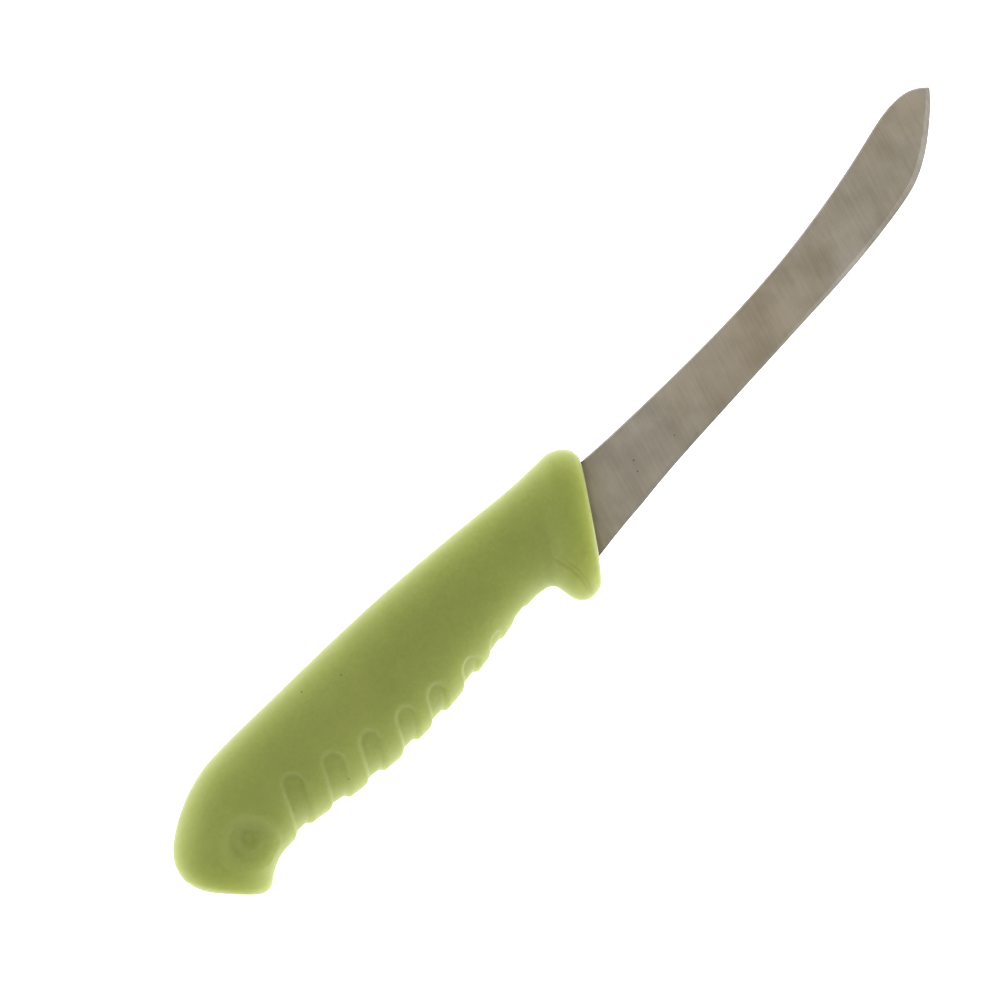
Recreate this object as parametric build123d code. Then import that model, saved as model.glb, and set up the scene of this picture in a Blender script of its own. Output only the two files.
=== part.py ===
"""Uncapping knife: an upswept steel blade with a hidden tang, held in a two-shot moulded handle.

The knife lies on its side. +X runs from the butt to the tip, +Y from the cutting edge to the spine,
+Z away from the surface that it lies on. All sizes are in millimetres.
Lengths along the knife are measured from the butt, heights from the axis of the handle, and thicknesses
from the middle plane of the blade. The finished pieces are then moved so that the origin is at the
bottom centre of the whole knife.
"""

from build123d import *
from math import atan2, ceil, cos, degrees, hypot, pi, radians, sin, sqrt, tan
import os

# Overall sizes
TOTAL_LENGTH = 271.4
HANDLE_TOP = 20.0  # height of the spine side of the handle above its axis
HORN_DEPTH = 17.3  # depth of the finger guard below the axis
MAX_HALF_WIDTH = 12.0  # half the thickness of the handle at the guard

# Front face of the handle, a plane that leans back from the spine to the edge
FRONT_X = 137.7  # where the plane crosses the axis of the handle
FRONT_LEAN = radians(57.0)  # from the axis
FRONT_ALONG = (cos(FRONT_LEAN), sin(FRONT_LEAN))
FRONT_OUT = (sin(FRONT_LEAN), -cos(FRONT_LEAN))
NOSE_RADIUS = 4.2  # of the hump above the blade, seen from the side
NOSE_HEIGHT = 10.55  # where the nose leaves the front plane, measured along the plane
RIM_RADIUS = 1.5  # of the edge between the front plane and the sides

# Sections of the handle
SECTION_POINTS = 20  # round half of a section
STATION_STEP = 2.5  # largest gap between neighbouring sections
SURFACE_TOLERANCE = 0.01
RIM_APART = 1.0  # the middle of an end rim is further than this from the blade's middle plane
WIDEST_AT = 0.55  # height of the widest point, as a share of the section's height
FULLNESS_TOP = 2.6  # superellipse exponent at the spine
FULLNESS_BELLY = 2.15  # superellipse exponent at the belly

# Grip recesses along the belly: round tip on the side face, and where the middle line meets the belly
RECESSES = [
    ((38.3, 3.5), (31.2, -8.5)),
    ((49.1, 0.4), (41.8, -9.6)),
    ((59.3, -2.0), (52.4, -11.1)),
    ((69.8, -3.9), (63.3, -11.7)),
    ((79.0, -5.3), (74.4, -11.5)),
    ((89.0, -6.0), (85.6, -10.5)),
    ((98.9, -6.2), (96.6, -9.2)),
    ((107.9, -6.0), (106.3, -8.1)),
]
RECESS_WIDTH = 5.2
RECESS_DEPTH = 1.05  # below the handle's plain surface
RECESS_RUN = 26.0  # length of the cutting shape, well past the belly

# Dish near the butt, on both sides, with a shallow pit in its middle
DISH_AT = (18.7, -1.0)
SIDE_THERE = 10.8  # height of the handle's side at that point
SIDE_TILT = 13.0  # degrees by which the side leans towards the belly there
DISH_DEPTH = 0.9
DISH_LENS = (10.6, 13.0, 3.0)  # half sizes of the ellipsoid that the dish is part of
PIT_RADIUS = 2.8
PIT_DEPTH = 0.6

# Blade: both flats are planes that close towards the edge and a little towards the tip
STOCK_HALF = 1.0  # half the thickness of the tang
FLAT_HALF = 1.23  # half the thickness where both coordinates are zero
FLAT_RISE = 0.034  # thickness gained per millimetre towards the spine, on each side
FLAT_FALL = 0.0042  # thickness lost per millimetre towards the tip, on each side
ROOT_RELIEF = 0.05  # the buried root is this much thinner on each side, for the plastic to grip
ROOT_DEPTH = 3.0  # how far the root goes into the handle
TANG_START = 1.2  # depth behind the front plane at which the unground stock begins
SPINE_CHAMFER = 0.4
SPINE_RUN = 100.0  # the spine's edges are longer than this
SPINE_LEVEL = 5.0  # and their middles are higher than this
BEVEL_REACH = 1.4  # height to which the sharpened bevel's surface is drawn
EDGE_LINE = [  # length, height and the angle of the bevel in degrees
    (118.0, -13.4, 17.0),
    (130.5, -11.8, 17.0),
    (147.5, -9.15, 17.0),
    (177.5, -6.5, 16.0),
    (207.5, -4.6, 13.0),
    (227.5, -3.2, 10.0),
    (238.0, -1.9, 9.0),
    (246.6, -0.45, 9.0),
    (251.8, 0.9, 10.0),
    (256.9, 3.3, 12.0),
    (261.5, 6.4, 15.0),
    (265.7, 9.9, 20.0),
    (268.8, 12.8, 25.0),
    (TOTAL_LENGTH, 15.8, 31.0),
    (275.4, 21.0, 31.0),
]
HEEL_LINE = [(112.0, -13.2), (130.3, -11.2), (139.0, -10.0), (150.0, -9.0), (170.0, -8.6)]
SPINE_LINE = [
    (130.0, 11.4),
    (138.0, 9.6),
    (147.5, 8.8),
    (165.0, 8.45),
    (187.5, 8.6),
    (209.5, 9.9),
    (231.5, 13.0),
    (250.0, 17.1),
    (257.5, 18.9),
    (262.5, 19.4),
    (267.5, 18.6),
    (270.0, 17.1),
    (TOTAL_LENGTH, 15.8),
    (273.2, 13.4),
]
TANG_LINE = [  # from its lower front corner round by the butt
    (122.0, -5.0),
    (116.0, -2.2),
    (48.0, 0.4),
    (44.0, 2.4),
    (44.0, 6.4),
    (48.0, 8.6),
    (126.0, 10.0),
]
TANG_FRONT = (-11.6, 10.0)  # lower and upper corner, as distances along the front plane
TANG_HOLES = [(60.0, 4.6), (82.0, 4.4), (104.0, 4.2)]
TANG_HOLE_RADIUS = 3.0

# Core
GRIP_WALL = 4.6  # thickness of the soft plastic over the core's edges
CORE_HALF_WIDTH = 6.6
CORE_BUTT = 9.0  # distance of the core's flat end from the butt
KEY_WINDOW = (32.5, 4.0)  # centre of the slot through the core that the grip's plastic fills
KEY_WINDOW_SIZE = (10.0, 5.0)

BIG = 60.0  # reach of the plain shapes that only cut or limit others


def at_front(depth, along):
    """Point at a depth behind the front plane, and a distance along it from the handle's axis."""
    return (
        FRONT_X - depth * FRONT_OUT[0] + along * FRONT_ALONG[0],
        -depth * FRONT_OUT[1] + along * FRONT_ALONG[1],
    )


def rounding(radius, depth):
    """How far a rounded rim has come back at a depth behind the face that it rounds into."""
    left = max(radius - depth, 0.0)
    return sqrt(radius**2 - left**2)


def handle_stations():
    """Each section as (spine point, belly point, half width), from the butt to the front plane."""
    stations = [
        ((1.4, -2.2), (10.5, -12.4), 6.4),
        ((0.35, 0.7), (11.1, -13.0), 8.4),
        ((0.0, 3.2), (12.0, -13.55), 9.5),
        ((0.7, 6.5), (13.3, -13.75), 10.2),
        ((2.7, 9.6), (14.5, -13.45), 10.6),
        ((6.2, 12.6), (15.7, -12.7), 10.9),
        ((11.0, 15.5), (17.0, -11.7), 11.2),
        ((17.0, 18.0), (19.3, -10.45), 11.4),
        ((24.5, 19.6), (23.0, -9.4), 11.6),
        ((34.0, HANDLE_TOP), (31.0, -9.2), 11.6),
        ((49.0, HANDLE_TOP), (47.0, -11.6), 11.75),
        ((63.0, HANDLE_TOP), (61.0, -12.8), 11.8),
        ((78.0, 19.8), (75.0, -12.5), 11.6),
        ((92.0, 19.2), (86.0, -11.3), 11.1),
        ((104.0, 18.4), (96.0, -9.75), 10.5),
        ((115.0, 17.5), (105.0, -8.0), 10.2),
        ((124.0, 16.7), (111.8, -7.3), 10.3),
        ((131.2, 16.4), (115.6, -7.7), 10.7),
    ]
    horn = [
        (12.0, (117.6, -9.2), 11.0, (134.4, 16.4)),
        (10.4, (118.1, -11.2), 11.4, (136.2, 16.4)),
        (8.6, (118.6, -14.0), 11.8, (138.2, 16.4)),
        (5.8, (120.4, -16.6), MAX_HALF_WIDTH, None),
        (3.7, (122.6, -HORN_DEPTH), MAX_HALF_WIDTH, None),
        (1.4, (125.3, -16.9), None, None),
        (0.4, (127.6, -14.8), None, None),
        (0.0, (130.0, -11.8), None, None),
    ]
    rim = MAX_HALF_WIDTH - RIM_RADIUS
    for depth, belly, half, spine in horn:
        spine = spine or at_front(depth, NOSE_HEIGHT + rounding(NOSE_RADIUS, depth))
        half = half or rim + rounding(RIM_RADIUS, depth)
        stations.append((spine, belly, half))
    return stations


def smooth_values(keys, values, places):
    """Smooth curve through values at keys, read at places. It never swings past the values it joins."""
    steps = [b - a for a, b in zip(keys, keys[1:])]
    rises = [(b - a) / step for a, b, step in zip(values, values[1:], steps)]
    slopes = [rises[0]]
    for i in range(1, len(rises)):
        before, after = rises[i - 1], rises[i]
        if before * after <= 0:
            slopes.append(0.0)
        else:
            w1, w2 = 2 * steps[i] + steps[i - 1], steps[i] + 2 * steps[i - 1]
            slopes.append((w1 + w2) / (w1 / before + w2 / after))
    slopes.append(rises[-1])
    result = []
    i = 0
    for place in places:
        while i < len(steps) - 1 and place > keys[i + 1]:
            i += 1
        t = (place - keys[i]) / steps[i]
        start = (2 * t**3 - 3 * t**2 + 1) * values[i] + (t**3 - 2 * t**2 + t) * steps[i] * slopes[i]
        end = (3 * t**2 - 2 * t**3) * values[i + 1] + (t**3 - t**2) * steps[i] * slopes[i + 1]
        result.append(start + end)
    return result


def fine_stations():
    """The handle's stations with more of them in between, no further apart than STATION_STEP."""
    rows = [(*spine, *belly, half) for spine, belly, half in handle_stations()]
    keys = [0.0]
    for a, b in zip(rows, rows[1:]):
        keys.append(keys[-1] + max(hypot(b[0] - a[0], b[1] - a[1]), hypot(b[2] - a[2], b[3] - a[3])))
    places = []
    for a, b in zip(keys, keys[1:]):
        count = ceil((b - a) / STATION_STEP)
        places += [a + (b - a) * i / count for i in range(count)]
    places.append(keys[-1])
    columns = [smooth_values(keys, column, places) for column in zip(*rows)]
    return [((a, b), (c, d), half) for a, b, c, d, half in zip(*columns)]


def section_points(station, inset=0.0):
    """Half of an egg-shaped section, from its spine point round the +Z side to its belly point."""
    (spine_x, spine_y), (belly_x, belly_y), half = station
    height = hypot(spine_x - belly_x, spine_y - belly_y)
    up = ((spine_x - belly_x) / height, (spine_y - belly_y) / height)
    points = []
    for i in range(SECTION_POINTS + 1):
        c, s = cos(pi * i / SECTION_POINTS), sin(pi * i / SECTION_POINTS)
        fullness = (FULLNESS_TOP + FULLNESS_BELLY) / 2 + c * (FULLNESS_TOP - FULLNESS_BELLY) / 2
        reach = (1 - WIDEST_AT if c > 0 else WIDEST_AT) * height - inset
        along = WIDEST_AT * height + (1 if c > 0 else -1) * reach * abs(c) ** (2 / fullness)
        out = (half - inset) * max(s, 0.0) ** (2 / fullness)
        points.append((belly_x + along * up[0], belly_y + along * up[1], out))
    points[0] = (*points[0][:2], 0.0)
    points[-1] = (*points[-1][:2], 0.0)
    return points


def handle_body(inset=0.0):
    """The solid outer shape of the handle, or the same shape shrunk by inset on its sides and edges."""
    rows = [section_points(station, inset) for station in fine_stations()]
    near = Face.make_surface_from_array_of_points(rows, tol=SURFACE_TOLERANCE)
    far = near.mirror(Plane.XY)
    near_rims = near.edges().filter_by(lambda edge: edge.center().Z > RIM_APART).sort_by(Axis.X)
    far_rims = far.edges().filter_by(lambda edge: edge.center().Z < -RIM_APART).sort_by(Axis.X)
    caps = [Face(Wire([near_rims[i], far_rims[i]])) for i in (0, -1)]
    return Solid(Shell([near, far, *caps]))


def recess_shape(tip, notch):
    """Upright slot with a round end at tip, whose middle line passes out of the belly through notch."""
    lean = atan2(tip[1] - notch[1], tip[0] - notch[0])
    to_middle = (RECESS_RUN + RECESS_WIDTH) / 2
    middle = Pos(tip[0] - to_middle * cos(lean), tip[1] - to_middle * sin(lean), -BIG / 2)
    return middle * extrude(SlotCenterToCenter(RECESS_RUN, RECESS_WIDTH, rotation=degrees(lean)), BIG)


def cut_recesses(body):
    """Shallow pockets of one depth that wrap the belly from side to side."""
    inner = handle_body(RECESS_DEPTH)
    for tip, notch in RECESSES:
        body -= recess_shape(tip, notch) - inner
    return body


def cut_dishes(body):
    """A round dish with a shallow pit in its middle, on each side near the butt."""
    pit_floor = SIDE_THERE - DISH_DEPTH - PIT_DEPTH
    for side in (1, -1):
        lens = scale(Sphere(1.0), by=DISH_LENS)
        tilt = Rot(X=side * SIDE_TILT) * Pos(0, 0, side * (DISH_LENS[2] - DISH_DEPTH))
        body -= Pos(*DISH_AT, side * SIDE_THERE) * tilt * lens
        body -= Pos(*DISH_AT, side * (pit_floor + BIG / 2)) * Cylinder(PIT_RADIUS, BIG)
    return body


def in_front_of(depth):
    """Everything on the blade's side of a plane at a depth behind the front plane."""
    plane = Plane(origin=(*at_front(depth, 0.0), 0.0), x_dir=(*FRONT_ALONG, 0.0), z_dir=(*FRONT_OUT, 0.0))
    return plane * Pos(0, 0, BIG * 2) * Box(BIG * 4, BIG * 4, BIG * 4)


def blade_plate():
    """The blade's outline with room to spare below the edge, as a thick plate."""
    heel = Spline(*HEEL_LINE)
    spine = Spline(*SPINE_LINE)
    low = -BIG / 2
    sides = Polyline(heel @ 1, (HEEL_LINE[-1][0], low), (SPINE_LINE[-1][0], low), spine @ 1)
    outline = make_face(Curve() + [heel, sides, spine, Line(spine @ 0, heel @ 0)])
    return Pos(0, 0, -STOCK_HALF) * extrude(outline, 2 * STOCK_HALF)


def between_flats(relief=0.0):
    """The wedge between the two ground planes, which are drawn closer together by relief."""
    half = FLAT_HALF - relief
    wedge = Box(BIG * 10, BIG * 4, BIG)
    for side in (1, -1):
        slope = (1, 0, -side * FLAT_FALL)
        normal = (FLAT_FALL, -FLAT_RISE, side)
        plane = Plane(origin=(0, 0, side * half), x_dir=slope, z_dir=normal)
        wedge -= plane * Pos(0, 0, BIG) * Box(BIG * 12, BIG * 6, BIG * 2)
    return wedge


def sharpened_edge():
    """Everything above the two bevels that rise from the cutting edge."""
    rim = [(x, y) for x, y, _ in EDGE_LINE]
    lifted = []
    for i, (x, y, angle) in enumerate(EDGE_LINE):
        before, after = rim[max(i - 1, 0)], rim[min(i + 1, len(rim) - 1)]
        run = hypot(after[0] - before[0], after[1] - before[1])
        inward = BEVEL_REACH / tan(radians(angle)) / run
        lifted.append((x - inward * (after[1] - before[1]), y + inward * (after[0] - before[0])))
    wires = []
    for height, line in ((0.0, rim), (BEVEL_REACH, lifted)):
        curve = Edge.make_spline([(x, y, height) for x, y in line])
        corners = [(*line[-1], height), (line[-1][0], BIG, height), (line[0][0], BIG, height)]
        corners.append((*line[0], height))
        wires.append(Wire([curve, *[Edge.make_line(a, b) for a, b in zip(corners, corners[1:])]]))
    half = Solid.make_loft(wires, ruled=True)
    return half + half.mirror(Plane.XY)


def tang():
    """Unground stock inside the handle: a strip with three holes that the core's plastic fills."""
    front = [at_front(TANG_START, along) for along in reversed(TANG_FRONT)]
    face = make_face(Polyline(*front, *TANG_LINE, close=True))
    for centre in TANG_HOLES:
        face -= Pos(*centre) * Circle(TANG_HOLE_RADIUS)
    return Pos(0, 0, -STOCK_HALF) * extrude(face, 2 * STOCK_HALF)


def ground_plate(relief, depth):
    """The ground and sharpened blade in front of a plane at a depth behind the front plane."""
    return blade_plate() & sharpened_edge() & between_flats(relief) & in_front_of(depth)


def blade():
    """Blade, buried root and tang in one piece of steel."""
    bare = ground_plate(0.0, 0.0)
    spine_edges = [edge for edge in bare.edges() if edge.length > SPINE_RUN and edge.center().Y > SPINE_LEVEL]
    bare = chamfer(spine_edges, SPINE_CHAMFER)
    root = ground_plate(ROOT_RELIEF, ROOT_DEPTH) - in_front_of(0.0)
    return bare + root + tang()


def core():
    """Hard inner handle moulded around the tang, with a slot through it that the grip's plastic fills."""
    body = handle_body(GRIP_WALL) & Box(BIG * 5, BIG, 2 * CORE_HALF_WIDTH)
    body -= in_front_of(GRIP_WALL)
    body -= Pos(CORE_BUTT - BIG / 2, 0, 0) * Box(BIG, BIG, BIG)
    window = Pos(*KEY_WINDOW, -BIG / 2) * extrude(SlotOverall(*KEY_WINDOW_SIZE), BIG)
    return body - window


def main():
    """Build the three pieces, move them together to the origin and export them."""
    steel = blade()
    whole_core = core()
    hard = whole_core - steel
    moulding = cut_dishes(cut_recesses(handle_body())) - whole_core
    soft = moulding - ground_plate(ROOT_RELIEF, ROOT_DEPTH) - tang()
    pieces = {"blade": steel, "handle_core": hard, "grip": soft}
    box = steel.bounding_box().add(hard.bounding_box()).add(soft.bounding_box())
    to_origin = Pos(-box.center().X, -box.center().Y, -box.min.Z)
    os.makedirs("parts", exist_ok=True)
    for name, piece in pieces.items():
        export_step(to_origin * piece, f"parts/{name}.step")


main()
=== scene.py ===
from math import cos, hypot, pi, radians, sin

import bpy
import numpy as np
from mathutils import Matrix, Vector


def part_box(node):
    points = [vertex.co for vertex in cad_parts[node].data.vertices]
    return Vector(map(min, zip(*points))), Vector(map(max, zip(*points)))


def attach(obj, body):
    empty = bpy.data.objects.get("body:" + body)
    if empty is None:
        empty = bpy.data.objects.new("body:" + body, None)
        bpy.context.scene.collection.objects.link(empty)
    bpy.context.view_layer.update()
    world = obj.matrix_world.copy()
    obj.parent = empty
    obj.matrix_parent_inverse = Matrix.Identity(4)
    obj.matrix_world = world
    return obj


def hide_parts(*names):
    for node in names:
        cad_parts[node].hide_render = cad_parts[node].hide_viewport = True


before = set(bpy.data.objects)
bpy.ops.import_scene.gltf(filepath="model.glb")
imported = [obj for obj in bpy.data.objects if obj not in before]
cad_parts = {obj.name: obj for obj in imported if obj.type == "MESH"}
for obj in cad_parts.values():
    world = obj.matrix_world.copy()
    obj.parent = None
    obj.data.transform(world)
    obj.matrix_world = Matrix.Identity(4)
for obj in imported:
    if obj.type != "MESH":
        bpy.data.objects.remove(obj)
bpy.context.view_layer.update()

# The knife's own coordinates are in millimetres: X from the butt to the tip, Y from the axis of the handle
# towards the spine of the blade, Z from the middle plane of the blade. The frame says where their origin is.
MM = 0.001
HORN_DEPTH = 17.304  # lowest point of the finger guard
GRIP_LOW, GRIP_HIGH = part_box("grip")
KNIFE_ORIGIN = np.array([
    GRIP_LOW[0],
    GRIP_LOW[1] + HORN_DEPTH * MM,
    (GRIP_LOW[2] + GRIP_HIGH[2]) / 2,
])

# Front face of the handle: a plane that leans back from the spine to the edge
FRONT_X = 137.7
FRONT_LEAN = radians(57.0)
FRONT_ALONG = np.array([cos(FRONT_LEAN), sin(FRONT_LEAN)])
FRONT_OUT = np.array([sin(FRONT_LEAN), -cos(FRONT_LEAN)])
NOSE_RADIUS = 4.2
NOSE_HEIGHT = 10.55
RIM_RADIUS = 1.5
MAX_HALF_WIDTH = 12.0
WIDEST_AT = 0.55
FULLNESS_TOP = 2.6
FULLNESS_BELLY = 2.15

# Sections of the handle from the butt: spine point, belly point and half width
BODY_STATIONS = [
    ((1.4, -2.2), (10.5, -12.4), 6.4),
    ((0.35, 0.7), (11.1, -13.0), 8.4),
    ((0.0, 3.2), (12.0, -13.55), 9.5),
    ((0.7, 6.5), (13.3, -13.75), 10.2),
    ((2.7, 9.6), (14.5, -13.45), 10.6),
    ((6.2, 12.6), (15.7, -12.7), 10.9),
    ((11.0, 15.5), (17.0, -11.7), 11.2),
    ((17.0, 18.0), (19.3, -10.45), 11.4),
    ((24.5, 19.6), (23.0, -9.4), 11.6),
    ((34.0, 20.0), (31.0, -9.2), 11.6),
    ((49.0, 20.0), (47.0, -11.6), 11.75),
    ((63.0, 20.0), (61.0, -12.8), 11.8),
    ((78.0, 19.8), (75.0, -12.5), 11.6),
    ((92.0, 19.2), (86.0, -11.3), 11.1),
    ((104.0, 18.4), (96.0, -9.75), 10.5),
    ((115.0, 17.5), (105.0, -8.0), 10.2),
    ((124.0, 16.7), (111.8, -7.3), 10.3),
    ((131.2, 16.4), (115.6, -7.7), 10.7),
]
# The guard: depth behind the front plane, belly point, half width and spine point.
# None stands for a value that follows from a rounding.
GUARD_STATIONS = [
    (12.0, (117.6, -9.2), 11.0, (134.4, 16.4)),
    (10.4, (118.1, -11.2), 11.4, (136.2, 16.4)),
    (8.6, (118.6, -14.0), 11.8, (138.2, 16.4)),
    (5.8, (120.4, -16.6), MAX_HALF_WIDTH, None),
    (3.7, (122.6, -17.3), MAX_HALF_WIDTH, None),
    (1.4, (125.3, -16.9), None, None),
    (0.4, (127.6, -14.8), None, None),
    (0.0, (130.0, -11.8), None, None),
]

# Mesh of the grip
ROUND_POINTS = 280
STATION_STEP = 0.3

# Features of the grip
RECESSES = [  # length and height of each round tip, and how deep the recess is beside the deepest
    (38.3, 3.5, 1.0),
    (49.1, 0.4, 1.0),
    (59.3, -2.0, 1.0),
    (69.8, -3.9, 1.0),
    (79.1, -5.5, 1.0),
    (89.9, -6.6, 1.0),
    (99.1, -7.1, 0.65),
    (107.8, -7.0, 0.5),
]
RECESS_WIDTH_TIP = 5.7
RECESS_WIDTH_BELLY = 4.6
RECESS_TIP_REACH = 3.7  # the round end is this long, a little more than half as wide
RECESS_DEPTH_TIP = 0.62
RECESS_DEPTH_BELLY = 1.1
RECESS_WALL = 1.3  # how wide the sloping wall is
RECESS_SWEEP = 0.45  # how far a recess moves towards the tip for each millimetre up the side
DISH_AT = np.array([18.9, -1.7])
DISH_RADIUS = 7.4
DISH_WALL = 3.6
DISH_DEPTH = 1.2
DISH_LIP = 0.14  # height of the lip that stands up round the dish
DISH_LIP_WIDTH = 0.6
DISH_SIDE = 5.0  # the dish is cut only further than this from the blade's middle plane
PIT_AT = np.array([19.6, -0.9])
PIT_RADIUS = 2.7
PIT_WALL = 2.6
PIT_DEPTH = 0.75
CREASES = [  # grooves on the guard, as side-view points, each fading out at its upper end
    [(121.6, -1.5), (122.2, -4.3), (123.3, -8.2), (123.4, -11.7), (122.6, -15.4)],
    [(123.7, -4.5), (124.1, -6.6), (124.5, -10.0), (124.2, -13.2), (122.8, -16.4)],
]
CREASE_DEPTH = 0.13
CREASE_WIDTH = 0.34
CREASE_FADE_IN = 4.0  # height over which a crease deepens from its upper end
CREASE_FADE_OUT = 2.0  # and over which it fades at its lower end, centred on that end
FLASH_HEIGHT = 0.07  # fine ridge where the halves of the mould met
FLASH_WIDTH = 0.22
NUBS = [(0.1, 2.7, 0.4), (0.9, -1.4, 0.3)]  # stubs of flash on the butt: length, height, how proud
NUB_RADIUS = 0.5
SLOT_CLEARANCE = 0.07  # round the root of the blade
SLOT_DEPTH = 3.4
SLOT_LOW, SLOT_HIGH = -13.9, 10.95  # ends of the slot along the front plane
BLADE_HALF_LOW, BLADE_HALF_HIGH = 0.27, 1.0  # half the blade's thickness at those ends
SLOT_SHARPNESS = 6.0  # how quickly the slot opens from its ends
FACE_SHARES = (0.04, 0.12, 0.25, 0.45, 0.7, 0.88)  # rings between the rim and the mouth of the slot
MOUTH = [(0.0, 0.45), (0.05, 0.2), (0.2, 0.06), (0.5, 0.0), (SLOT_DEPTH, 0.0)]  # depth, flare of the slot
BUTT_FACE = [(0.16, 0.34), (0.4, 0.3), (0.62, 0.24), (0.8, 0.15), (0.92, 0.07)]  # share of the rim, rise

# Steel
GRIND_LEAN = radians(16.0)  # of the ground lines, from square across the blade
GROOVE_PITCH = 0.00056
WAVE_UNIT = 20.0  # a wave texture of scale 1 turns through this many radians in a metre
ROOT_SHADE_REACH = 0.006  # how far the painted shade of the handle reaches over the steel

# Stage
PALE = (0.93, 0.93, 0.92, 1.0)
FLOOR_HALF = 3.0  # metres
FLOOR_GLOW = 1.3  # the floor is a lit white table, so the knife is seen against the light
SKY_STRENGTH = 1.6
PANEL_TURNS = (150.0, 330.0)  # directions of the two side panels, in degrees
PANEL_DISTANCE = 1.2
PANEL_HEIGHT = 0.5
PANEL_SIZE = (1.2, 0.6)
PANEL_POWER = 3.0

# Camera
VIEW_TURN = radians(44.0)
VIEW_HEIGHT = 0.9
VIEW_WIDTH = 0.25  # width of the picture at the middle plane of the blade
VIEW_CENTRE = (122.5, 16.2)
SENSOR = 36.0


def at_front(depth, along):
    """Point at a depth behind the front plane and a distance along it from the handle's axis."""
    return np.array([FRONT_X, 0.0]) - depth * FRONT_OUT + along * FRONT_ALONG


def rounding(radius, depth):
    """How far a rounded rim has come back at a depth behind the face that it rounds into."""
    left = max(radius - depth, 0.0)
    return (radius**2 - left**2) ** 0.5


def stations():
    """Every given section as a row of spine x and y, belly x and y, half width."""
    rows = [(*spine, *belly, half) for spine, belly, half in BODY_STATIONS]
    for depth, belly, half, spine in GUARD_STATIONS:
        if spine is None:
            spine = at_front(depth, NOSE_HEIGHT + rounding(NOSE_RADIUS, depth))
        if half is None:
            half = MAX_HALF_WIDTH - RIM_RADIUS + rounding(RIM_RADIUS, depth)
        rows.append((*spine, *belly, half))
    return np.array(rows)


def smooth_values(keys, values, places):
    """Smooth curve through values at keys, read at places. It never swings past the values it joins."""
    steps = np.diff(keys)
    rises = np.diff(values) / steps
    slopes = np.zeros(len(keys))
    slopes[0], slopes[-1] = rises[0], rises[-1]
    for i in range(1, len(rises)):
        if rises[i - 1] * rises[i] > 0:
            w1, w2 = 2 * steps[i] + steps[i - 1], steps[i] + 2 * steps[i - 1]
            slopes[i] = (w1 + w2) / (w1 / rises[i - 1] + w2 / rises[i])
    i = np.clip(np.searchsorted(keys, places, side="right") - 1, 0, len(steps) - 1)
    t = (places - keys[i]) / steps[i]
    start = (2 * t**3 - 3 * t**2 + 1) * values[i] + (t**3 - 2 * t**2 + t) * steps[i] * slopes[i]
    end = (3 * t**2 - 2 * t**3) * values[i + 1] + (t**3 - t**2) * steps[i] * slopes[i + 1]
    return start + end


def fine_stations():
    """The handle's sections, close enough together for the smallest feature."""
    rows = stations()
    spine_steps = np.hypot(*np.diff(rows[:, 0:2], axis=0).T)
    belly_steps = np.hypot(*np.diff(rows[:, 2:4], axis=0).T)
    keys = np.concatenate([[0.0], np.cumsum(np.maximum(spine_steps, belly_steps))])
    places = np.linspace(0.0, keys[-1], int(keys[-1] / STATION_STEP) + 1)
    return np.stack([smooth_values(keys, column, places) for column in rows.T], axis=1)


def sections():
    """Points of the handle's plain surface, by station and then round each section from its spine."""
    rows = fine_stations()
    turn = 2 * pi * np.arange(ROUND_POINTS) / ROUND_POINTS
    c, s = np.cos(turn)[None, :], np.sin(turn)[None, :]
    spine, belly, half = rows[:, None, 0:2], rows[:, None, 2:4], rows[:, None, 4]
    height = np.linalg.norm(spine - belly, axis=2)
    up = (spine - belly) / height[..., None]
    fullness = (FULLNESS_TOP + FULLNESS_BELLY) / 2 + c * (FULLNESS_TOP - FULLNESS_BELLY) / 2
    reach = np.where(c > 0, 1 - WIDEST_AT, WIDEST_AT) * height
    along = WIDEST_AT * height + np.sign(c) * reach * np.abs(c) ** (2 / fullness)
    out = np.sign(s) * half * np.abs(s) ** (2 / fullness)
    flat = belly + along[..., None] * up
    return np.concatenate([flat, out[..., None]], axis=2)


def surface_normals(points):
    """Outward normals of a grid of points that is closed round its second direction."""
    along = np.gradient(points, axis=0)
    around = np.roll(points, -1, axis=1) - np.roll(points, 1, axis=1)
    normals = np.cross(around, along)
    return normals / np.linalg.norm(normals, axis=2, keepdims=True)


def ease(value):
    """Smooth step from 0 at value 0 to 1 at value 1."""
    t = np.clip(value, 0.0, 1.0)
    return t * t * (3 - 2 * t)


def girth_from_belly(points):
    """Distance of each point round its section from the middle of the belly."""
    belly = points.shape[1] // 2
    steps = np.linalg.norm(np.diff(points[:, : belly + 1], axis=1), axis=2)
    half = np.concatenate([np.cumsum(steps[:, ::-1], axis=1)[:, ::-1], np.zeros((len(points), 1))], axis=1)
    return np.concatenate([half, half[:, -2:0:-1]], axis=1)


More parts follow.
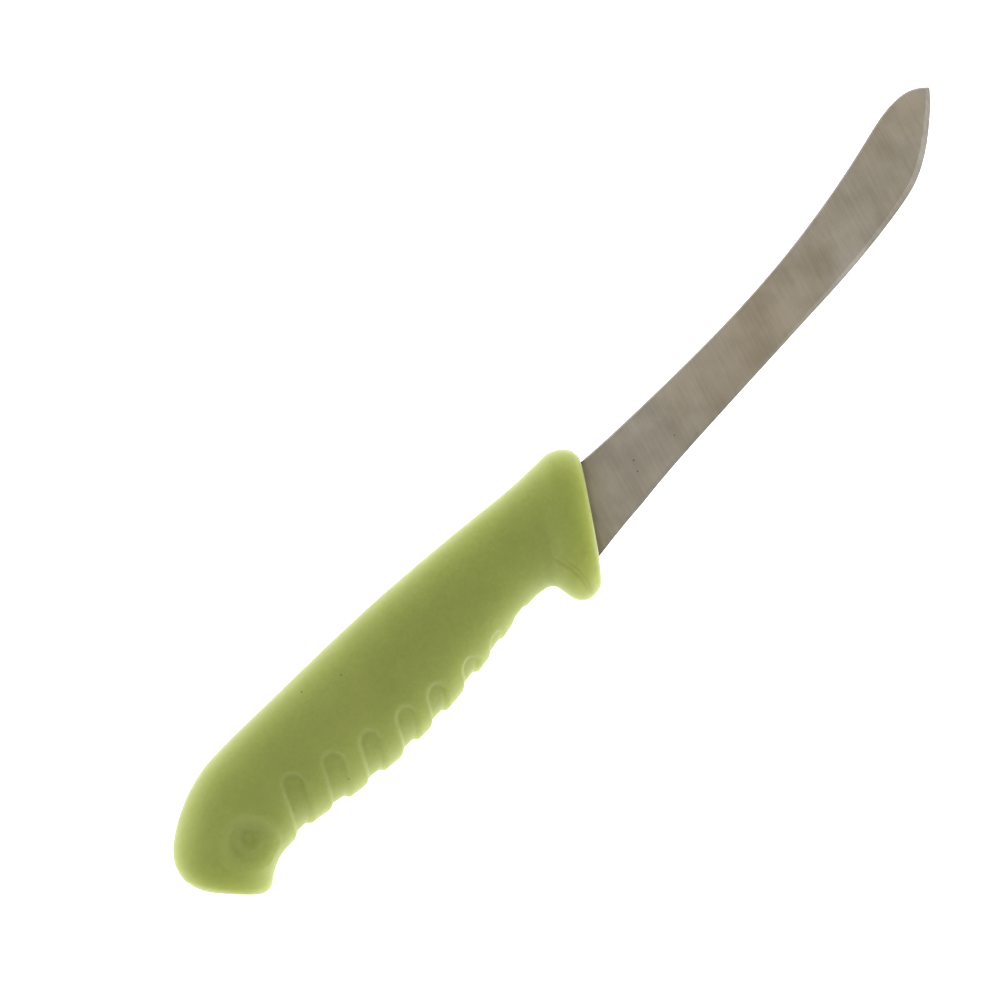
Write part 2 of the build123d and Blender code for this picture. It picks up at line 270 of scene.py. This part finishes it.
def recess_depth(points, girth):
    """Depth of the grip recesses: round-ended pockets that sweep round the belly from side to side."""
    depth = np.zeros(girth.shape)
    upper = points[..., 2] > 0
    across = np.array([1.0, -RECESS_SWEEP]) / hypot(1.0, RECESS_SWEEP)
    upward = np.array([RECESS_SWEEP, 1.0]) / hypot(1.0, RECESS_SWEEP)
    for tip_x, tip_y, share in RECESSES:
        gap = np.where(upper, np.hypot(points[..., 0] - tip_x, points[..., 1] - tip_y), np.inf)
        tip_girth = girth.flat[np.argmin(gap)]
        offset = np.stack([points[..., 0] - tip_x, girth - tip_girth], axis=-1)
        side, rise = offset @ across, offset @ upward
        run = np.clip((girth / max(tip_girth, 1.0)), 0.0, 1.0)
        radius = (RECESS_WIDTH_BELLY + (RECESS_WIDTH_TIP - RECESS_WIDTH_BELLY) * run) / 2
        over = np.maximum(rise + RECESS_TIP_REACH, 0.0) * RECESS_WIDTH_TIP / 2 / RECESS_TIP_REACH
        distance = np.hypot(side, over) - radius
        deep = share * (RECESS_DEPTH_BELLY + (RECESS_DEPTH_TIP - RECESS_DEPTH_BELLY) * run)
        depth = np.maximum(depth, deep * ease(0.5 - distance / RECESS_WALL))
    return depth


def crease_share(points):
    """How deep each point is in the fine creases on the sides of the guard, from 0 to 1."""
    share = np.zeros(points.shape[:2])
    for crease in CREASES:
        line = np.array(crease)
        heights = -line[:, 1]
        place = np.interp(-points[..., 1], heights, line[:, 0])
        gap = (points[..., 0] - place) / CREASE_WIDTH
        below_top = -points[..., 1] - heights[0]
        above_end = heights[-1] + CREASE_FADE_OUT / 2 + points[..., 1]
        fade = ease(below_top / CREASE_FADE_IN) * ease(above_end / CREASE_FADE_OUT)
        share = np.maximum(share, np.exp(-(gap**2)) * fade)
    return share


def dish_depth(points):
    """Depth of the dish near the butt, with the pit in its middle and the low lip around it."""
    from_dish = np.linalg.norm(points[..., 0:2] - DISH_AT, axis=-1)
    from_pit = np.linalg.norm(points[..., 0:2] - PIT_AT, axis=-1)
    depth = DISH_DEPTH * ease((DISH_RADIUS - from_dish) / DISH_WALL)
    depth += PIT_DEPTH * ease((PIT_RADIUS - from_pit) / PIT_WALL + 0.5)
    depth -= DISH_LIP * np.exp(-(((from_dish - DISH_RADIUS) / DISH_LIP_WIDTH) ** 2))
    return depth * (np.abs(points[..., 2]) > DISH_SIDE)


def relief(points):
    """How far each point of the plain surface moves out along its normal, in millimetres."""
    height = -recess_depth(points, girth_from_belly(points)) - dish_depth(points)
    height -= CREASE_DEPTH * crease_share(points)
    height += FLASH_HEIGHT * np.exp(-((points[..., 2] / FLASH_WIDTH) ** 2))
    for x, y, proud in NUBS:
        away = np.linalg.norm(points - np.array([x, y, 0.0]), axis=-1)
        height += proud * np.exp(-((away / NUB_RADIUS) ** 2))
    return height


def ring_faces(rows, columns):
    """Quads between neighbouring rings of a grid that is closed round its second direction."""
    i, j = np.meshgrid(np.arange(rows - 1), np.arange(columns), indexing="ij")
    here, beside = i * columns + j, i * columns + (j + 1) % columns
    return np.stack([here, beside, beside + columns, here + columns], axis=-1).reshape(-1, 4)


def strip_faces(start, columns):
    """Closes the ring of vertices that begins at start, with faces straight across its mirror plane."""
    faces = [(start, start + 1, start + columns - 1)]
    half = columns // 2
    for j in range(1, half - 1):
        faces.append((start + j, start + j + 1, start + columns - j - 1, start + columns - j))
    faces.append((start + half - 1, start + half, start + half + 1))
    return faces


def front_rings(rim):
    """Rings from the rim of the front face to the mouth of the blade's slot, and on to its floor."""
    columns = rim.shape[0]
    turn = 2 * pi * np.arange(columns) / columns
    middle, reach = (SLOT_HIGH + SLOT_LOW) / 2, (SLOT_HIGH - SLOT_LOW) / 2
    along = middle + reach * np.cos(turn)
    share = (along - SLOT_LOW) / (SLOT_HIGH - SLOT_LOW)
    half = BLADE_HALF_LOW + (BLADE_HALF_HIGH - BLADE_HALF_LOW) * share + SLOT_CLEARANCE
    side = np.sign(np.sin(turn)) * ease(np.abs(np.sin(turn)) * SLOT_SHARPNESS)
    slot = []
    for depth, flare in MOUTH:
        place = np.array([at_front(depth, a + flare * np.cos(t)) for a, t in zip(along, turn)])
        slot.append(np.column_stack([place, (half + flare) * side]))
    return [rim + (slot[0] - rim) * share for share in FACE_SHARES] + slot


def butt_rings(rim):
    """Rings from the rim of the butt face to its middle, which stands a little proud."""
    centre = rim.mean(axis=0)
    across = rim[0] - rim[rim.shape[0] // 2]
    out = np.cross(across / np.linalg.norm(across), (0.0, 0.0, 1.0))
    if out[0] > 0:
        out = -out
    return [centre + (rim - centre) * share + out * rise for share, rise in BUTT_FACE]


def to_frame(points):
    """Millimetres in the knife's own coordinates to metres in the frame."""
    return np.asarray(points) * MM + KNIFE_ORIGIN


def make_grip():
    """The soft outer moulding as one closed mesh."""
    plain = sections()
    body = plain + surface_normals(plain) * relief(plain)[..., None]
    behind, before = butt_rings(body[0]), front_rings(body[-1])
    rings = np.array([*behind, *body, *before])
    # Painted shade: this per-vertex share of the creases darkens the grip's colour along them, standing in
    # for the shade inside the grooves
    painted_crease_shade = np.zeros(rings.shape[:2])
    painted_crease_shade[len(behind) : -len(before)] = crease_share(plain)
    count, columns = rings.shape[0], rings.shape[1]
    faces = [tuple(face) for face in ring_faces(count, columns)]
    faces += [tuple(reversed(face)) for face in strip_faces(0, columns)]
    faces += strip_faces((count - 1) * columns, columns)
    mesh = bpy.data.meshes.new("grip_soft")
    mesh.from_pydata(to_frame(rings.reshape(-1, 3)).tolist(), [], faces)
    mesh.attributes.new("painted_crease_shade", "FLOAT", "POINT").data.foreach_set("value", painted_crease_shade.ravel())
    mesh.validate()
    mesh.polygons.foreach_set("use_smooth", [True] * len(mesh.polygons))
    grip = bpy.data.objects.new("grip_soft", mesh)
    bpy.context.collection.objects.link(grip)
    bpy.context.view_layer.update()
    return grip


class Nodes:
    """Short way to build a node tree."""

    def __init__(self, material):
        self.tree = material.node_tree
        self.tree.nodes.clear()

    def add(self, kind, inputs=(), **settings):
        node = self.tree.nodes.new(kind)
        for name, value in settings.items():
            setattr(node, name, value)
        for key, value in dict(inputs).items():
            if isinstance(value, bpy.types.NodeSocket):
                self.tree.links.new(value, node.inputs[key])
            else:
                node.inputs[key].default_value = value
        return node

    def math(self, operation, a, b=0.0):
        return self.add("ShaderNodeMath", {0: a, 1: b}, operation=operation).outputs[0]

    def blend(self, a, share_a, b, share_b):
        return self.math("ADD", self.math("MULTIPLY", a, share_a), self.math("MULTIPLY", b, share_b))

    def noise(self, place, scale, detail, roughness):
        inputs = {"Vector": place, "Scale": scale, "Detail": detail, "Roughness": roughness}
        return self.add("ShaderNodeTexNoise", inputs).outputs[0]

    def map_range(self, value, before, after):
        inputs = {0: value, 1: before[0], 2: before[1], 3: after[0], 4: after[1]}
        return self.add("ShaderNodeMapRange", inputs).outputs[0]

    def ramp(self, value, stops):
        node = self.add("ShaderNodeValToRGB", {0: value})
        elements = node.color_ramp.elements
        while len(elements) < len(stops):
            elements.new(0.5)
        for element, (position, colour) in zip(elements, stops):
            element.position = position
            element.color = colour
        return node.outputs[0]

    def multiply(self, a, b):
        node = self.add("ShaderNodeMix", {0: 1.0, 6: a, 7: b}, data_type="RGBA", blend_type="MULTIPLY")
        return node.outputs[2]

    def mix(self, share, a, b):
        node = self.add("ShaderNodeMix", {0: share, 6: a, 7: b}, data_type="RGBA")
        return node.outputs[2]


def new_material(name):
    material = bpy.data.materials.new(name)
    material.use_nodes = True
    return material, Nodes(material)


def grip_material():
    """Soft, slightly translucent yellow-green elastomer with a matt, fine-grained skin."""
    material, n = new_material("grip_elastomer")
    place = n.add("ShaderNodeTexCoord").outputs["Object"]
    cloud = n.noise(place, 70.0, 3.0, 0.55)
    grain = n.noise(place, 2600.0, 2.0, 0.6)
    speck = n.noise(place, 900.0, 4.0, 0.7)
    deep, light = (0.30, 0.355, 0.068, 1.0), (0.385, 0.445, 0.105, 1.0)
    base = n.mix(cloud, deep, light)
    tint = n.ramp(speck, [(0.3, (0.93, 0.93, 0.9, 1.0)), (0.7, (1.05, 1.05, 1.05, 1.0))])
    spots = n.add("ShaderNodeTexVoronoi", {"Vector": place, "Scale": 95.0}).outputs["Distance"]
    dots = n.ramp(spots, [(0.018, (0.45, 0.4, 0.2, 1.0)), (0.034, (1.0, 1.0, 1.0, 1.0))])
    tinted = n.multiply(n.multiply(base, tint), dots)
    # Painted shade: the colour is mixed towards dark olive along the creases, by up to 0.4
    painted_crease_shade = n.add("ShaderNodeAttribute", attribute_name="painted_crease_shade").outputs["Fac"]
    colour = n.mix(n.math("MULTIPLY", painted_crease_shade, 0.4), tinted, (0.27, 0.26, 0.05, 1.0))
    rough = n.map_range(speck, (0.3, 0.7), (0.46, 0.62))
    bump = n.add("ShaderNodeBump", {"Height": grain, "Distance": 0.00004, "Strength": 0.6}).outputs[0]
    wave = n.add("ShaderNodeBump", {"Height": cloud, "Distance": 0.0004, "Strength": 0.5, "Normal": bump})
    shader = n.add("ShaderNodeBsdfPrincipled", {
        "Base Color": colour,
        "Roughness": rough,
        "Normal": wave.outputs[0],
        "Specular IOR Level": 0.5,
        "Subsurface Weight": 0.75,
        "Subsurface Radius": (1.0, 1.0, 0.95),
        "Subsurface Scale": 0.024,
        "Sheen Weight": 0.2,
        "Sheen Roughness": 0.5,
    })
    n.add("ShaderNodeOutputMaterial", {"Surface": shader.outputs[0]})
    return material


def core_material():
    """Hard inner moulding of nearly the same colour."""
    material, n = new_material("core_plastic")
    place = n.add("ShaderNodeTexCoord").outputs["Object"]
    cloud = n.noise(place, 300.0, 3.0, 0.5)
    base = n.mix(cloud, (0.27, 0.32, 0.05, 1.0), (0.34, 0.39, 0.08, 1.0))
    bump = n.add("ShaderNodeBump", {"Height": cloud, "Distance": 0.00005, "Strength": 0.5})
    shader = n.add("ShaderNodeBsdfPrincipled", {
        "Base Color": base,
        "Roughness": 0.45,
        "Normal": bump.outputs[0],
        "Subsurface Weight": 0.3,
        "Subsurface Radius": (1.0, 1.0, 0.35),
        "Subsurface Scale": 0.003,
    })
    n.add("ShaderNodeOutputMaterial", {"Surface": shader.outputs[0]})
    return material


def steel_material():
    """Stainless steel, ground across the blade in fine even lines that lean towards the tip."""
    material, n = new_material("blade_steel")
    place = n.add("ShaderNodeTexCoord").outputs["Object"]
    turned = n.add("ShaderNodeMapping", {"Vector": place, "Rotation": (0.0, 0.0, GRIND_LEAN)}).outputs[0]
    grooves = n.add("ShaderNodeTexWave", {
        "Vector": turned, "Scale": 2 * pi / (WAVE_UNIT * GROOVE_PITCH), "Distortion": 2.6,
        "Detail": 2.0, "Detail Scale": 0.25, "Detail Roughness": 0.5,
    }, bands_direction="X").outputs[1]
    stretched = n.add("ShaderNodeMapping", {"Vector": turned, "Scale": (1500.0, 60.0, 1500.0)}).outputs[0]
    scratch = n.noise(stretched, 1.0, 3.0, 0.5)
    cloud = n.noise(place, 90.0, 5.0, 0.6)
    patch = n.noise(place, 26.0, 2.0, 0.5)
    strong = n.ramp(cloud, [(0.35, (0.1, 0.1, 0.1, 1.0)), (0.65, (0.8, 0.8, 0.8, 1.0))])
    lines = n.blend(n.math("MULTIPLY", grooves, strong), 0.5, scratch, 0.65)
    soft = n.blend(cloud, 0.6, patch, 0.4)
    tone = n.blend(lines, 0.36, soft, 0.64)
    base = n.ramp(tone, [(0.35, (0.565, 0.515, 0.43, 1.0)), (0.62, (0.745, 0.7, 0.615, 1.0))])
    brown = n.ramp(patch, [(0.45, (1.0, 1.0, 1.0, 1.0)), (0.66, (0.93, 0.88, 0.8, 1.0))])
    spots = n.add("ShaderNodeTexVoronoi", {"Vector": place, "Scale": 120.0}).outputs["Distance"]
    pits = n.ramp(spots, [(0.018, (0.4, 0.38, 0.36, 1.0)), (0.036, (1.0, 1.0, 1.0, 1.0))])
    # Painted light by slope: steel tilted far from flat is painted darker, steel tilted a few degrees is
    # painted with a bright bluish highlight
    normal = n.add("ShaderNodeNewGeometry").outputs["True Normal"]
    upright = n.math("ABSOLUTE", n.add("ShaderNodeSeparateXYZ", {0: normal}).outputs[2])
    painted_slope_light = n.ramp(upright, [
        (0.72, (0.5, 0.5, 0.56, 1.0)),
        (0.88, (0.35, 0.36, 0.39, 1.0)),
        (0.955, (0.7, 0.73, 0.78, 1.0)),
        (0.985, (1.13, 1.19, 1.29, 1.0)),
        (0.998, (1.0, 1.0, 1.0, 1.0)),
    ])
    # Painted shade: the steel within a few millimetres of the handle's front face is painted darker, as the
    # handle's shade on the blade
    dot = {0: place, 1: (*FRONT_OUT, 0.0)}
    from_origin = n.add("ShaderNodeVectorMath", dot, operation="DOT_PRODUCT").outputs[1]
    face = float(to_frame((FRONT_X, 0.0, 0.0))[:2] @ FRONT_OUT)
    root = n.ramp(n.map_range(from_origin, (face, face + ROOT_SHADE_REACH), (0.0, 1.0)), [
        (0.0, (0.55, 0.52, 0.48, 1.0)),
        (0.3, (0.86, 0.84, 0.81, 1.0)),
        (1.0, (1.0, 1.0, 1.0, 1.0)),
    ])
    colour = n.multiply(n.multiply(n.multiply(base, brown), pits), n.multiply(painted_slope_light, root))
    rough = n.map_range(tone, (0.3, 0.7), (0.36, 0.5))
    bump = n.add("ShaderNodeBump", {"Height": lines, "Distance": 0.00001, "Strength": 0.5})
    shader = n.add("ShaderNodeBsdfPrincipled", {
        "Base Color": colour,
        "Metallic": 1.0,
        "Roughness": rough,
        "Normal": bump.outputs[0],
    })
    n.add("ShaderNodeOutputMaterial", {"Surface": shader.outputs[0]})
    return material


def dress(node, material):
    """Gives a CAD node a new material in every slot."""
    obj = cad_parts[node]
    for i in range(len(obj.material_slots)):
        obj.material_slots[i].material = material
    if not obj.material_slots:
        obj.data.materials.append(material)


def make_floor():
    """Plain pale floor that the knife lies on."""
    mesh = bpy.data.meshes.new("floor")
    corners = [(x * FLOOR_HALF, y * FLOOR_HALF, 0) for x, y in ((-1, -1), (1, -1), (1, 1), (-1, 1))]
    mesh.from_pydata(corners, [], [(0, 1, 2, 3)])
    floor = bpy.data.objects.new("floor", mesh)
    bpy.context.collection.objects.link(floor)
    material, n = new_material("floor_white")
    shader = n.add("ShaderNodeBsdfPrincipled", {
        "Base Color": PALE,
        "Roughness": 0.9,
        "Emission Color": (1.0, 1.0, 1.0, 1.0),
        "Emission Strength": FLOOR_GLOW,
    })
    n.add("ShaderNodeOutputMaterial", {"Surface": shader.outputs[0]})
    mesh.materials.append(material)


def add_light(name, at):
    """A soft panel at a place, turned towards the knife."""
    data = bpy.data.lights.new(name, "AREA")
    data.shape = "RECTANGLE"
    data.size, data.size_y = PANEL_SIZE
    data.energy = PANEL_POWER
    light = bpy.data.objects.new(name, data)
    light.location = at
    light.rotation_euler = (-Vector(at)).to_track_quat("-Z", "Y").to_euler()
    bpy.context.collection.objects.link(light)


def add_lights():
    """A room that is dim overhead and bright low down, and two large soft panels at the sides."""
    world = bpy.data.worlds.new("studio")
    world.use_nodes = True
    n = Nodes(world)
    direction = n.add("ShaderNodeTexCoord").outputs["Generated"]
    height = n.add("ShaderNodeSeparateXYZ", {0: direction}).outputs[2]
    sky = n.ramp(height, [
        (0.0, (0.8, 0.8, 0.8, 1.0)),
        (0.35, (0.5, 0.49, 0.475, 1.0)),
        (0.85, (0.265, 0.255, 0.239, 1.0)),
        (1.0, (0.23, 0.22, 0.202, 1.0)),
    ])
    background = n.add("ShaderNodeBackground", {"Color": sky, "Strength": SKY_STRENGTH})
    n.add("ShaderNodeOutputWorld", {"Surface": background.outputs[0]})
    bpy.context.scene.world = world
    for i, turn in enumerate(PANEL_TURNS):
        across = PANEL_DISTANCE * cos(radians(turn)), PANEL_DISTANCE * sin(radians(turn))
        add_light(f"side_panel_{i + 1}", (*across, PANEL_HEIGHT))


def add_camera():
    """Camera straight above the knife, with the blade running up to the right."""
    data = bpy.data.cameras.new("camera")
    data.sensor_width = SENSOR
    data.lens = SENSOR * VIEW_HEIGHT / VIEW_WIDTH
    camera = bpy.data.objects.new("camera", data)
    camera.location = to_frame((*VIEW_CENTRE, VIEW_HEIGHT / MM))
    camera.rotation_euler = (0.0, 0.0, -VIEW_TURN)
    bpy.context.collection.objects.link(camera)
    bpy.context.scene.camera = camera


grip = make_grip()
grip.data.materials.append(grip_material())
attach(grip, "root")
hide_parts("grip")
dress("handle_core", core_material())
dress("blade", steel_material())
make_floor()
add_lights()
add_camera()
bpy.context.scene.view_settings.view_transform = "Standard"
